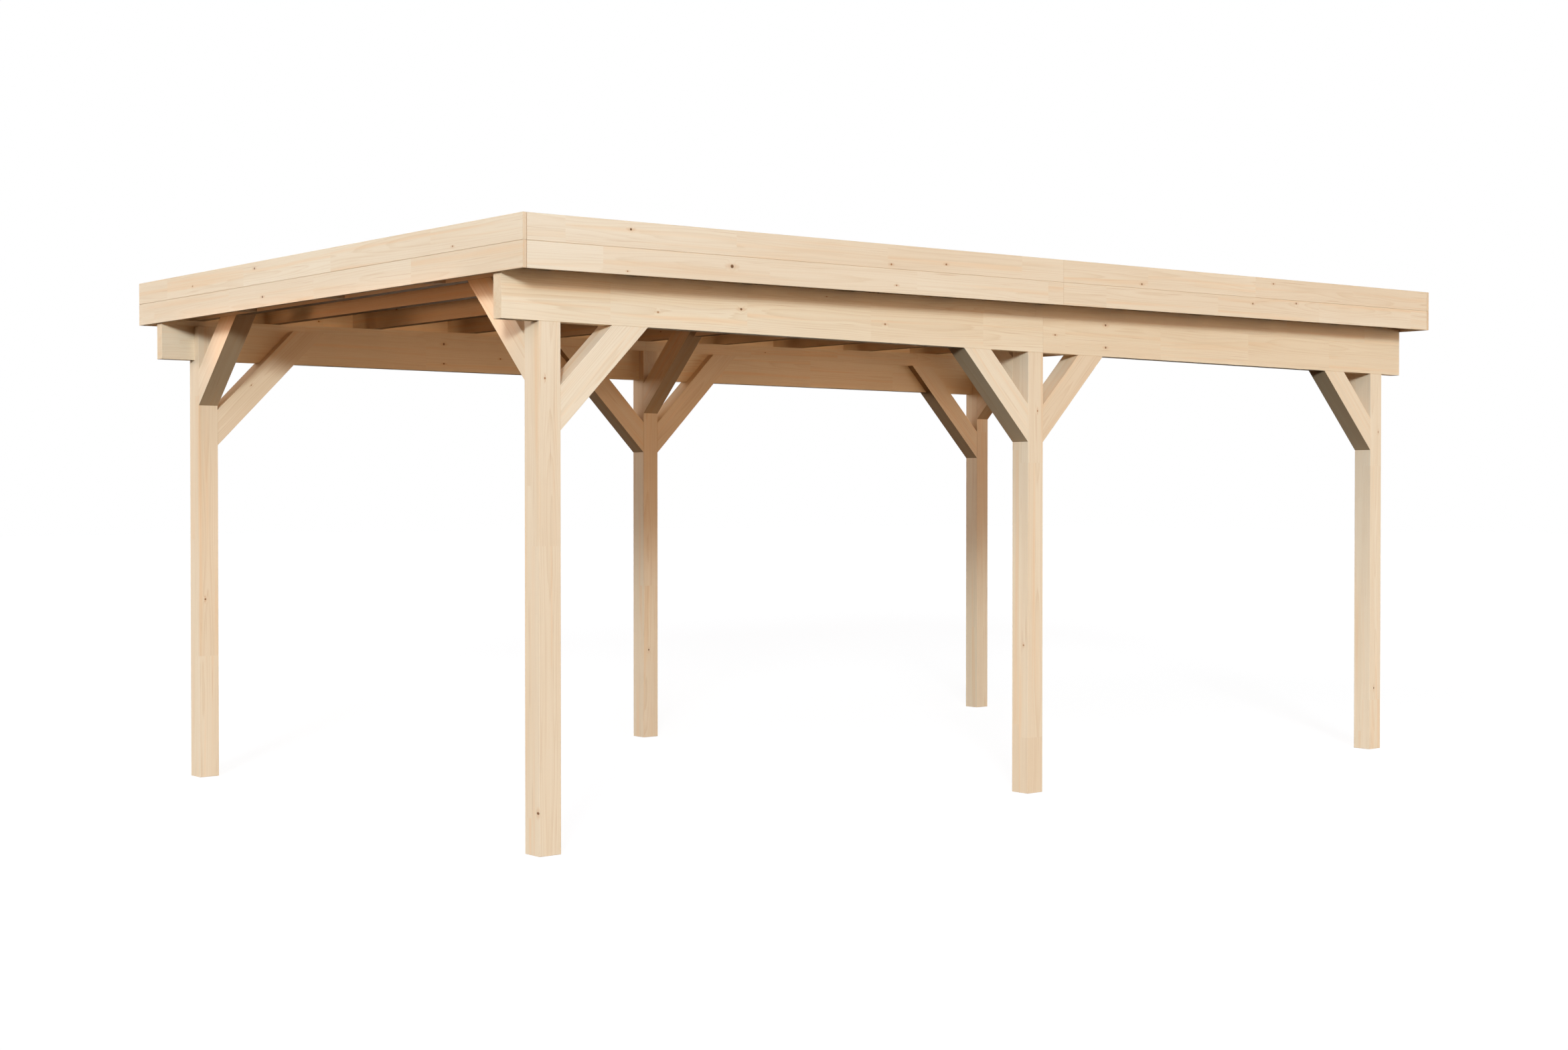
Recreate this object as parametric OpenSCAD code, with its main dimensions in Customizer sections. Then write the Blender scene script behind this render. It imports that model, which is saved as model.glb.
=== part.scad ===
// Open timber carport on six posts, with a shallow roof that falls along its length.
//
// X runs along the carport and Y across it. The roof rises towards +X.
// The origin is at ground level in the middle of the posts.
//
// Load path: each post has a shoulder that carries a long beam on its outer side. A tapered
// board on the beam gives the roof its fall. Rafters cross from row to row on the tapered
// boards, roof boards lie on the rafters, and a felt sheet covers them inside the fascia.

/* [Plan] */
// Distance from one post to the next along the length
bay_length = 2427; // [1800:1:3200]
// Distance between the two rows of posts, centre to centre
row_spacing = 2709; // [2000:1:3600]
// How far the long beams run past the centres of the end posts
end_overhang = 196; // [80:1:500]
// How far the rafters run past the centres of each row of posts
side_overhang = 187; // [80:1:500]

/* [Posts] */
// Width of a square post
post_size = 90; // [70:1:140]
// Height of the shoulder that carries the long beam
shoulder_h = 1845; // [1500:1:2600]

/* [Beams] */
// Thickness of the long beams and the tapered boards
beam_t = 50; // [35:1:80]
// Height of a long beam
beam_h = 148; // [100:1:240]
// Height of the tapered board at its low end
taper_low_h = 24; // [10:1:80]
// Rise of the roof for each metre of its length
rise_per_metre = 11.2; // [2:0.1:30]

/* [Rafters] */
// Thickness of a rafter
rafter_t = 50; // [35:1:80]
// Height of a rafter
rafter_h = 110; // [80:1:220]
// Clear gap between an end rafter and the next one
end_rafter_gap = 315; // [100:1:500]
// How far the left lengths of tapered board and fascia run onto the middle rafter
joint_bearing = 5; // [2:1:30]
// Distance between the short blocks that carry an end fascia
block_spacing = 762; // [400:1:1000]

/* [Knee braces] */
// Distance that a knee brace reaches along its post and along what it props
brace_reach = 375; // [200:1:700]
// Depth of a knee brace, square to its length
brace_depth = 110; // [70:1:160]

/* [Fascia] */
// Thickness of a fascia board
fascia_t = 15; // [12:1:30]
// Height of one fascia board, of the two that stand one above the other
fascia_board_h = 92.5; // [60:0.5:160]
// Shadow gap between the lower and the upper fascia board
fascia_gap = 1; // [0.5:0.5:5]
// How far the fascia hangs below the rafters
fascia_drop = 15; // [0:1:60]

/* [Roof] */
// Thickness of the roof boards
roof_board_t = 19; // [15:1:30]
// Thickness of the felt
felt_t = 4; // [2:0.5:8]
// Height to which the felt turns up inside the fascia
felt_upstand = 30; // [15:1:60]

/* [Fits] */
// Gap left under each piece that lies on a sloping face
seat_gap = 0.3; // [0.1:0.1:1]
// Gap between the felt and the fascia
felt_gap = 1; // [0.5:0.5:5]

/* [Hidden] */

half_post = post_size / 2;
row_y = row_spacing / 2;
frame_x = bay_length + end_overhang;
frame_y = row_y + side_overhang;
beam_top = shoulder_h + beam_h;
rise = rise_per_metre / 1000;

// The part of a post, or of a knee brace, that stands beside a beam or a rafter.
beside_beam_t = post_size - beam_t;
beside_rafter_t = post_size - rafter_t;

// Left faces of the rafters. The end rafters are flush with the outer faces of the end posts,
// the middle one with the right faces of the middle posts, and the rest are evenly spaced.
common_per_bay = 4;
second_rafter_x = -bay_length - half_post + rafter_t + end_rafter_gap;
rafter_pitch = (-rafter_t / 2 - second_rafter_x) / common_per_bay;
rafter_x = [
    -bay_length - half_post,
    for (i = [-common_per_bay : -1]) -rafter_t / 2 + i * rafter_pitch,
    half_post - rafter_t,
    for (i = [1 : common_per_bay]) -rafter_t / 2 + i * rafter_pitch,
    bay_length + half_post - rafter_t
];

// The lengths of a tapered board, and those of a long fascia, meet at the middle rafter.
middle_joint_x = half_post - rafter_t + joint_bearing;

// Height of the rafters' undersides at a place along the carport.
function underside(x) = beam_top + taper_low_h + rise * (x + frame_x);

spruce = "#f0dcb9";
pale_spruce = "#f6e6c8";
warm_spruce = "#dfc197";
felt_grey = "#4b4d4f";

// A piece that follows the roof's fall, from one height above the undersides to another.
module sloping_slab(x0, x1, y0, y1, low, high)
    translate([0, y1, 0])
        rotate([90, 0, 0])
            linear_extrude(height = y1 - y0)
                polygon([
                    [x0, underside(x0) + low],
                    [x1, underside(x1) + low],
                    [x1, underside(x1) + high],
                    [x0, underside(x0) + high]
                ]);

// side is -1 for the front row of posts and 1 for the back row.
module at_row(side)
    translate([0, side * row_y, 0])
        scale([1, side, 1])
            children();

// In a row's own frame +Y points outwards, away from the middle of the carport.
module post(place, side)
    color(spruce)
        at_row(side)
            translate([place * bay_length, 0, 0]) {
                translate([-half_post, -half_post, 0])
                    cube([post_size, post_size, shoulder_h]);
                translate([-half_post, -half_post, shoulder_h - 1])
                    cube([post_size, beside_beam_t, beam_h + 1]);
            }

// A beam length lies on the shoulders, flush with the outer faces of the posts.
module long_beam(x0, x1, side)
    color(spruce)
        at_row(side)
            translate([x0, half_post - beam_t, shoulder_h])
                cube([x1 - x0, beam_t, beam_h]);

module tapered_board(x0, x1, side)
    color(spruce)
        at_row(side)
            translate([0, half_post, 0])
                rotate([90, 0, 0])
                    linear_extrude(height = beam_t)
                        polygon([
                            [x0, beam_top],
                            [x1, beam_top],
                            [x1, underside(x1) - seat_gap],
                            [x0, underside(x0) - seat_gap]
                        ]);

module rafter(number)
    color(warm_spruce)
        sloping_slab(
            rafter_x[number - 1], rafter_x[number - 1] + rafter_t, -frame_y, frame_y, 0, rafter_h
        );

// Outline of a knee brace at 45 degrees, in the plane of its post and what it props.
// It starts at the post's face and is cut level at its top.
module brace_outline(toe, top) {
    cut = brace_depth * sqrt(2);
    polygon([
        [0, toe],
        [top - toe, top],
        [top - toe - cut, top],
        [0, toe + cut]
    ]);
}

// A brace in the plane of the beam. Its outer part props the beam, and its inner part
// stands beside the beam. way is -1 or 1, along X.
module beam_brace(way) {
    toe = shoulder_h - brace_reach;
    scale([way, 1, 1])
        translate([half_post, 0, 0])
            rotate([90, 0, 0]) {
                translate([0, 0, -half_post])
                    linear_extrude(height = beam_t)
                        brace_outline(toe, shoulder_h);
                translate([0, 0, -half_post + beam_t])
                    linear_extrude(height = beside_beam_t)
                        brace_outline(toe, beam_top);
            }
}

// A brace across the carport. One part props the rafter, which covers the post from from_x,
// and the other part stands beside the rafter.
module rafter_brace(x, from_x) {
    beside_x = from_x > -half_post ? -half_post : from_x + rafter_t;
    toe = underside(x - half_post) - brace_reach;
    translate([0, -half_post, 0])
        mirror([0, 1, 0])
            rotate([90, 0, 90]) {
                translate([0, 0, from_x])
                    linear_extrude(height = rafter_t)
                        brace_outline(toe, underside(x + from_x) - seat_gap);
                translate([0, 0, beside_x])
                    linear_extrude(height = beside_rafter_t)
                        brace_outline(toe, underside(x + beside_x) + rafter_h - seat_gap);
            }
}

// place is -1, 0 or 1: the left, middle or right post of a row.
module knee_braces(place, side) {
    x = place * bay_length;
    from_x = place < 0 ? -half_post : half_post - rafter_t;
    color(spruce)
        at_row(side)
            translate([x, 0, 0]) {
                if (place < 1) beam_brace(1);
                if (place > -1) beam_brace(-1);
                rafter_brace(x, from_x);
            }
}

// Short blocks between an end rafter and the end fascia. way is -1 or 1, along X.
module end_blocks(way) {
    x0 = way < 0 ? -frame_x : bay_length + half_post;
    x1 = way < 0 ? -bay_length - half_post : frame_x;
    color(warm_spruce)
        for (i = [-1 : 1])
            sloping_slab(
                x0, x1, i * block_spacing - rafter_t / 2, i * block_spacing + rafter_t / 2, 0, rafter_h
            );
}

// Two boards, one above the other. The end boards cover the ends of the long ones.
module end_fascia(way) {
    x = way < 0 ? -frame_x - fascia_t : frame_x;
    foot = underside(way * frame_x) - fascia_drop;
    width = 2 * (frame_y + fascia_t);
    color(pale_spruce)
        for (i = [0, 1])
            translate([x, -width / 2, foot + i * (fascia_board_h + fascia_gap)])
                cube([fascia_t, width, fascia_board_h]);
}

module long_fascia(x0, x1, side) {
    y0 = side < 0 ? -frame_y - fascia_t : frame_y;
    color(pale_spruce)
        for (i = [0, 1]) {
            low = i * (fascia_board_h + fascia_gap) - fascia_drop;
            sloping_slab(x0, x1, y0, y0 + fascia_t, low, low + fascia_board_h);
        }
}

module roof_boards()
    color(warm_spruce)
        sloping_slab(
            -frame_x, frame_x, -frame_y, frame_y, rafter_h + seat_gap, rafter_h + seat_gap + roof_board_t
        );

// A tray: a flat sheet with its edges turned up inside the fascia.
module roof_felt() {
    low = rafter_h + roof_board_t + 2 * seat_gap;
    x = frame_x - felt_gap;
    y = frame_y - felt_gap;
    color(felt_grey)
        difference() {
            sloping_slab(-x, x, -y, y, low, low + felt_upstand);
            sloping_slab(
                -x + felt_t, x - felt_t, -y + felt_t, y - felt_t,
                low + felt_t, low + felt_upstand + 10
            );
        }
}

module post_front_left() post(-1, -1);
module post_front_middle() post(0, -1);
module post_front_right() post(1, -1);
module post_back_left() post(-1, 1);
module post_back_middle() post(0, 1);
module post_back_right() post(1, 1);

// The two lengths of a beam meet over the right edge of the middle post.
module beam_front_left() long_beam(-frame_x, half_post, -1);
module beam_front_right() long_beam(half_post, frame_x, -1);
module beam_back_left() long_beam(-frame_x, half_post, 1);
module beam_back_right() long_beam(half_post, frame_x, 1);

// The two lengths of a tapered board meet over the middle post, under the middle rafter.
module tapered_board_front_left() tapered_board(-frame_x, middle_joint_x, -1);
module tapered_board_front_right() tapered_board(middle_joint_x, frame_x, -1);
module tapered_board_back_left() tapered_board(-frame_x, middle_joint_x, 1);
module tapered_board_back_right() tapered_board(middle_joint_x, frame_x, 1);

module rafter_1() rafter(1);
module rafter_2() rafter(2);
module rafter_3() rafter(3);
module rafter_4() rafter(4);
module rafter_5() rafter(5);
module rafter_6() rafter(6);
module rafter_7() rafter(7);
module rafter_8() rafter(8);
module rafter_9() rafter(9);
module rafter_10() rafter(10);
module rafter_11() rafter(11);

module knee_braces_front_left() knee_braces(-1, -1);
module knee_braces_front_middle() knee_braces(0, -1);
module knee_braces_front_right() knee_braces(1, -1);
module knee_braces_back_left() knee_braces(-1, 1);
module knee_braces_back_middle() knee_braces(0, 1);
module knee_braces_back_right() knee_braces(1, 1);

module end_blocks_left() end_blocks(-1);
module end_blocks_right() end_blocks(1);

module fascia_left() end_fascia(-1);
module fascia_right() end_fascia(1);
module fascia_front_left() long_fascia(-frame_x, middle_joint_x, -1);
module fascia_front_right() long_fascia(middle_joint_x, frame_x, -1);
module fascia_back_left() long_fascia(-frame_x, middle_joint_x, 1);
module fascia_back_right() long_fascia(middle_joint_x, frame_x, 1);

post_front_left();
post_front_middle();
post_front_right();
post_back_left();
post_back_middle();
post_back_right();
beam_front_left();
beam_front_right();
beam_back_left();
beam_back_right();
tapered_board_front_left();
tapered_board_front_right();
tapered_board_back_left();
tapered_board_back_right();
rafter_1();
rafter_2();
rafter_3();
rafter_4();
rafter_5();
rafter_6();
rafter_7();
rafter_8();
rafter_9();
rafter_10();
rafter_11();
knee_braces_front_left();
knee_braces_front_middle();
knee_braces_front_right();
knee_braces_back_left();
knee_braces_back_middle();
knee_braces_back_right();
end_blocks_left();
end_blocks_right();
fascia_left();
fascia_right();
fascia_front_left();
fascia_front_right();
fascia_back_left();
fascia_back_right();
roof_boards();
roof_felt();
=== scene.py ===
"""Looks of an open timber carport: planed spruce posts, beams and boards under a felted roof.

Every board is an eased bar with its own piece of a log in it, so that growth rings, streaks
and knots run through the wood and meet at the edges. Lengths are in metres.
"""

import math

import bpy
import numpy as np
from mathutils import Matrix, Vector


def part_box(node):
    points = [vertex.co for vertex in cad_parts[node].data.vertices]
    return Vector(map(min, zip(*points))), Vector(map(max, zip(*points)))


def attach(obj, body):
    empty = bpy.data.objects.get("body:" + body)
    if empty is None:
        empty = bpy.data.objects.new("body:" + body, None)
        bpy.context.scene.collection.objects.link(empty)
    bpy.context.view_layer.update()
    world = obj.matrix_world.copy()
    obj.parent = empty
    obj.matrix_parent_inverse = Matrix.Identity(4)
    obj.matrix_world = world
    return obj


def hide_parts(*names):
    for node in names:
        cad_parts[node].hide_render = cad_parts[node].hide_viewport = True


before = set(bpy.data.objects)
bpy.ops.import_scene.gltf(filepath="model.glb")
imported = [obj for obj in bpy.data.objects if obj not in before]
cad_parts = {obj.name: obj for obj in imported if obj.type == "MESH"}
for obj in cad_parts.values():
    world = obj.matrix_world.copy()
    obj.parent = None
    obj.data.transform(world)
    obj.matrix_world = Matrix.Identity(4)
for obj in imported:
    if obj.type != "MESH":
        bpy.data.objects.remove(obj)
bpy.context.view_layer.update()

X = np.array([1.0, 0.0, 0.0])
Y = np.array([0.0, 1.0, 0.0])
Z = np.array([0.0, 0.0, 1.0])

random = np.random.default_rng(11)

# Driving sizes of the woodwork that the frame's boxes don't give.
post_ease = 0.0016
beam_ease = 0.0012
fascia_ease = 0.0011
taper_ease = 0.0006
glue_ease = 0.0003
tongue_ease = 0.0002
brace_depth = 0.110
brace_top_gap = 0.0003
fascia_gap = 0.001
tongue_inset = 0.0024
fascia_end_gap = 0.0015
roof_board_cover = 0.0965
roof_board_chamfer = 0.003

# The felt: how far apart its sheets start and how far they lap, the radius of the turned-up
# edge, and a slow ripple, which is calm near the edge.
felt_sheet_cover = 0.875
felt_lap = 0.09
felt_lap_fade = 0.05
felt_sheet_t = 0.004
felt_bend = 0.016
felt_ripple = 0.0007
felt_calm_edge = 0.15

# Number of rafters, which the frame counts from the low left end to the high right end.
rafter_count = 11
left_rafter = "rafter_1"
right_rafter = f"rafter_{rafter_count}"
middle_rafter = f"rafter_{(rafter_count + 1) // 2}"


def lowest(node):
    """The lowest corner of a node's box."""
    return np.array(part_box(node)[0])


def highest(node):
    """The highest corner of a node's box."""
    return np.array(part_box(node)[1])


def centre_of(node):
    """The middle of a node's box."""
    return (lowest(node) + highest(node)) / 2


# The roof's fall, and the level from which it is measured, come from the two end rafters.
run_x, _, run_z = lowest(right_rafter) - lowest(left_rafter)
rise = run_z / run_x
rafter_t = highest(left_rafter)[0] - lowest(left_rafter)[0]
rafter_h = highest(left_rafter)[2] - lowest(left_rafter)[2] - rise * rafter_t


def underside(x):
    """Height of the rafters' undersides at a place along the carport."""
    return lowest(left_rafter)[2] + rise * (x - lowest(left_rafter)[0])


# ---------------------------------------------------------------------------------------
# Shader arithmetic
# ---------------------------------------------------------------------------------------


def add_node(tree, kind, settings=None, inputs=None, output=0):
    """Adds one node: its settings first, then the value or link of each socket."""
    made = tree.nodes.new(kind)
    for name, value in (settings or {}).items():
        setattr(made, name, value)
    for name, value in (inputs or {}).items():
        if isinstance(value, Value):
            tree.links.new(value.socket, made.inputs[name])
        else:
            made.inputs[name].default_value = value
    return Value(tree, made.outputs[output]) if made.outputs else None


class Value:
    """An output socket. Arithmetic on it adds Math nodes to its tree."""

    def __init__(self, tree, socket):
        self.tree = tree
        self.socket = socket

    def maths(self, operation, first, second=0.0):
        return add_node(
            self.tree, "ShaderNodeMath", {"operation": operation}, {0: first, 1: second}
        )

    def __add__(self, other):
        return self.maths("ADD", self, other)

    def __sub__(self, other):
        return self.maths("SUBTRACT", self, other)

    def __rsub__(self, other):
        return self.maths("SUBTRACT", other, self)

    def __mul__(self, other):
        return self.maths("MULTIPLY", self, other)

    def __truediv__(self, other):
        return self.maths("DIVIDE", self, other)

    def __rtruediv__(self, other):
        return self.maths("DIVIDE", other, self)

    def __pow__(self, other):
        return self.maths("POWER", self, other)

    def __rpow__(self, other):
        return self.maths("POWER", other, self)

    __radd__ = __add__
    __rmul__ = __mul__

    def least(self, other):
        return self.maths("MINIMUM", self, other)

    def most(self, other):
        return self.maths("MAXIMUM", self, other)

    def floor(self):
        return self.maths("FLOOR", self)

    def fraction(self):
        return self.maths("FRACT", self)

    def sine(self):
        return self.maths("SINE", self)

    def cosine(self):
        return self.maths("COSINE", self)

    def root(self):
        return self.maths("SQRT", self)

    def step(self, low, high):
        """0 below low and 1 above high, with a smooth step between them."""
        return add_node(
            self.tree,
            "ShaderNodeMapRange",
            {"interpolation_type": "SMOOTHSTEP"},
            {"Value": self, "From Min": low, "From Max": high},
        )

    def parts(self):
        """The three numbers of a vector."""
        split = add_node(self.tree, "ShaderNodeSeparateXYZ", None, {0: self})
        return [Value(self.tree, output) for output in split.socket.node.outputs]

    def vector(self, operation, other):
        """Vector arithmetic with another vector."""
        return add_node(
            self.tree, "ShaderNodeVectorMath", {"operation": operation}, {0: self, 1: other}
        )

    def noise(self, stretch, detail=2.0, roughness=0.5, output=0):
        """Smooth noise of this place, stretched by a number of waves per metre each way."""
        inputs = {
            "Vector": self.vector("MULTIPLY", stretch),
            "Scale": 1.0,
            "Detail": detail,
            "Roughness": roughness,
        }
        return add_node(self.tree, "ShaderNodeTexNoise", None, inputs, output)


def attribute(tree, name):
    """A piece's own vector attribute."""
    return add_node(tree, "ShaderNodeAttribute", {"attribute_name": name}, None, 1)


def joined(tree, x, y, z):
    """A vector made of three numbers."""
    return add_node(tree, "ShaderNodeCombineXYZ", None, {0: x, 1: y, 2: z})


def mixed(tree, first, second, share):
    """Two colours, mixed by a share from 0 to 1."""
    inputs = {"Factor": share, 6: first, 7: second}
    return add_node(tree, "ShaderNodeMix", {"data_type": "RGBA"}, inputs, 2)


def finished(name, build):
    """A material whose build function returns the inputs of its shader."""
    material = bpy.data.materials.new(name)
    material.use_nodes = True
    tree = material.node_tree
    tree.nodes.clear()
    surface = add_node(tree, "ShaderNodeBsdfPrincipled", None, build(tree))
    add_node(tree, "ShaderNodeOutputMaterial", None, {"Surface": surface})
    return material


# ---------------------------------------------------------------------------------------
# Spruce
# ---------------------------------------------------------------------------------------

# Each board carries its place in its log and up to three knots as attributes.
KNOTS = ("knot_a", "knot_b", "knot_c")
LOG_ATTRIBUTES = ("grain", "tone") + KNOTS

# Colours of the wood's figure: resin-yellow streaks, short brown dashes, the stain that
# trails from a knot, and the hearts of large and small knots.
honey_streak = (0.84, 0.53, 0.28, 1.0)
brown_dash = (0.58, 0.33, 0.16, 1.0)
knot_stain = (0.66, 0.37, 0.18, 1.0)
large_knot_heart = (0.130, 0.050, 0.018, 1.0)
small_knot_heart = (0.400, 0.165, 0.055, 1.0)

# Radii of the knots: below the first there is none, and the last two part small from large.
no_knot = 0.0005
least_knot = 0.001
small_knot = 0.0040
large_knot = 0.0054


def spruce(name, early, late, segment, ring_share=0.42, dull=(1.0, 1.0, 1.0)):
    """Planed spruce, worked out from each board's place in its own log.

    The grain attribute is (along the board, and two ways across it from the log's heart),
    the tone attribute is (lightness, width of a ring, seed), and a knot's attribute is
    (place along, angle round the heart, radius). Rings are the distance from the heart,
    bent by slow noise. Where the board is glued up from finger-jointed lengths, each length
    takes its rings from another part of the log. A knot is a bar that leaves the heart at
    its place and angle and pushes the rings out. dull multiplies the finished colour.
    """

    def build(tree):
        grain = attribute(tree, "grain")
        tone, ring_size, seed = attribute(tree, "tone").parts()
        along = grain.parts()[0]

        # Lengths that are glued end to end.
        length = (along / segment + seed).floor()
        cell = {"Vector": joined(tree, length, seed, 0.5)}
        draw = add_node(tree, "ShaderNodeTexWhiteNoise", {"noise_dimensions": "3D"}, cell, 1)
        draw = draw.vector("SUBTRACT", (0.5, 0.5, 0.5))
        length_tone = draw.parts()[0]
        moved = grain.vector("ADD", draw.vector("MULTIPLY", (0.0, 0.05, 0.05)))

        # The log isn't straight, so its heart wanders along the board.
        wander = moved.noise((0.9, 2.5, 2.5), 1.0, 0.5, 1)
        wander = wander.vector("SUBTRACT", (0.5, 0.5, 0.5))
        bent = moved.vector("ADD", wander.vector("MULTIPLY", (0.0, 0.035, 0.035)))
        _, across, through = bent.parts()

        # Knots, their stain, and how far they push the rings out of their way.
        _, level, deep = grain.parts()
        knot = None
        halo = None
        push = None
        pale_knot = None
        for each in KNOTS:
            place, angle, size = attribute(tree, each).parts()
            lengthwise = along - place
            sideways = level * angle.sine() - deep * angle.cosine()
            outward = (level * angle.cosine() + deep * angle.sine()).step(0.0, 0.004)
            apart = ((lengthwise * 0.85) ** 2 + sideways**2).root() / size.most(0.0001)
            smear = ((lengthwise * 0.30) ** 2 + sideways**2).root() / size.most(0.0001)
            found = outward * size.step(no_knot, least_knot)
            this_knot = (1 - apart.step(0.55, 1.0)) * found
            this_halo = (1 - smear.step(0.5, 1.7)) * found
            this_push = (1 - apart.step(0.0, 4.0)) * found * size
            this_pale = this_knot * (1 - size.step(small_knot, large_knot))
            knot = this_knot if knot is None else knot.most(this_knot)
            halo = this_halo if halo is None else halo.most(this_halo)
            push = this_push if push is None else push + this_push
            pale_knot = this_pale if pale_knot is None else pale_knot.most(this_pale)

        # Growth rings: pale early wood that darkens slowly, then a thin line of late wood.
        heart = (across**2 + through**2).root()
        ripple = bent.noise((2.0, 60.0, 60.0), 2.0)
        rings = (heart + push * 0.9) / ring_size + ripple * 0.9
        phase = rings.fraction()
        late_wood = phase**2.6 * (1 - phase.step(0.9, 1.0))

        # Streaks that run with the fibres.
        fine = bent.noise((5.0, 520.0, 520.0), 2.0)
        streak = bent.noise((1.1, 62.0, 62.0), 3.0, 0.62)
        broad = bent.noise((0.8, 9.0, 9.0), 2.0)
        honey = bent.vector("ADD", (7.0, 3.0, 1.0)).noise((0.75, 34.0, 34.0), 2.0)
        dashes = bent.vector("ADD", (2.0, 5.0, 9.0)).noise((3.2, 210.0, 210.0), 1.0)

        strength = 0.55 + 0.9 * broad
        share = late_wood * ring_share * strength + (streak - 0.5) * 0.75 + (fine - 0.5) * 0.30
        share = (share + halo * 0.10).most(0.0).least(1.0)
        colour = mixed(tree, early, late, share)
        colour = mixed(tree, colour, honey_streak, honey.step(0.52, 0.74) * 0.45)
        colour = mixed(tree, colour, brown_dash, dashes.step(0.66, 0.80) * 0.45)
        colour = mixed(tree, colour, knot_stain, halo * 0.34)
        core = mixed(tree, large_knot_heart, small_knot_heart, pale_knot.most(late_wood))
        colour = mixed(tree, colour, core, knot * 0.97)

        # Lightness of the board, of each glued length and of its broad figure.
        light = 1.0 + tone + length_tone * 0.035 + (broad - 0.5) * 0.12
        colour = colour.vector("MULTIPLY", joined(tree, light, light**1.8, light**2.6))
        colour = colour.vector("MULTIPLY", dull)

        roughness = 0.60 + 0.10 * late_wood + 0.10 * fine - 0.12 * knot
        height = fine * 0.35 + (1 - late_wood) * 0.45 + streak * 0.4 + knot * 0.3
        relief = {"Height": height, "Strength": 0.35, "Distance": 0.0006}
        bump = add_node(tree, "ShaderNodeBump", None, relief)
        return {
            "Base Color": colour,
            "Roughness": roughness,
            "Normal": bump,
            "Specular IOR Level": 0.2,
        }

    return finished(name, build)


# Early and late wood of each kind of timber.
pale_early = (0.840, 0.680, 0.500, 1.0)
pale_late = (0.680, 0.455, 0.260, 1.0)
warm_early = (0.835, 0.665, 0.475, 1.0)
warm_late = (0.660, 0.430, 0.235, 1.0)
beam_early = (0.850, 0.682, 0.482, 1.0)
fascia_early = (0.835, 0.668, 0.482, 1.0)

# How far cut ends dull the wood, as a share of each colour that is left. The lower edges
# of braces and rafters are darker partly as saw-cut wood and partly as painted shade.
end_dull = (0.95, 0.91, 0.87)
fascia_end_dull = (0.92, 0.85, 0.78)
sawn_painted_shade_dull = (0.62, 0.55, 0.47)
# The rafters' lower edges are darker still, and this is mostly painted shade.
rafter_sawn_painted_shade_dull = (0.46, 0.40, 0.33)

# Lengths that are glued end to end. A board in one piece has one longer than any board.
post_segment = 1.15
beam_segment = 0.62
fascia_segment = 0.74
one_piece = 9.0


def spruce_set(name, early, late, segment, end=end_dull, sawn_with_painted_shade=sawn_painted_shade_dull):
    """The planed finish of a kind of timber, that of its cut ends, and that of its lower edges:
    saw-cut wood darkened with painted shade.
    """
    return (
        spruce(name, early, late, segment),
        spruce(name + "_end", early, late, segment, ring_share=0.6, dull=end),
        spruce(name + "_sawn", early, late, segment, ring_share=0.5, dull=sawn_with_painted_shade),
    )


TIMBER = {
    "post_timber": spruce_set("planed_spruce_post", warm_early, warm_late, post_segment),
    "beam_timber": spruce_set("planed_spruce_beam", beam_early, warm_late, beam_segment),
    "rafter_timber": spruce_set(
        "planed_spruce_rafter", pale_early, warm_late, one_piece, sawn_with_painted_shade=rafter_sawn_painted_shade_dull
    ),
    "brace_timber": spruce_set("planed_spruce_brace", warm_early, warm_late, one_piece),
    "fascia_timber": spruce_set(
        "planed_spruce_fascia", fascia_early, pale_late, fascia_segment, end=fascia_end_dull
    ),
    "roof_board_timber": spruce_set("planed_spruce_roof_board", pale_early, warm_late, one_piece),
}


# ---------------------------------------------------------------------------------------
# Boards
# ---------------------------------------------------------------------------------------

# Points on an eased corner and on an eased end, the most that a board runs between two
# rings of points, and the least radius of a corner.
corner_points = 4
end_points = 3
ring_spacing = 0.45
least_ease = 0.0002

# A face is on a board's lower edge when it is all within this much of it.
edge_band = 0.0003

# The slopes of a board's start and end cuts, where both are square.
SQUARE_CUTS = ((0, 0), (0, 0))


def eased_section(width, thickness, radii):
    """A rectangle whose four corners are quarter circles, each with its own radius.

    Each arc's centre is set in by its radius from both sides. The corners run round from
    (-, -) through (+, -) and (+, +) to (-, +), so the outline is anticlockwise.
    """
    turn = np.linspace(0.0, math.pi / 2, corner_points)
    corners = ((-1, -1), (1, -1), (1, 1), (-1, 1))
    arcs = []
    for quarter, (side, radius) in enumerate(zip(corners, radii)):
        angle = math.pi * (1 + quarter / 2) + turn
        centre = np.array(side) * (np.array([width, thickness]) / 2 - radius)
        arcs.append(centre + radius * np.stack([np.cos(angle), np.sin(angle)], 1))
    return np.concatenate(arcs)


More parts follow.
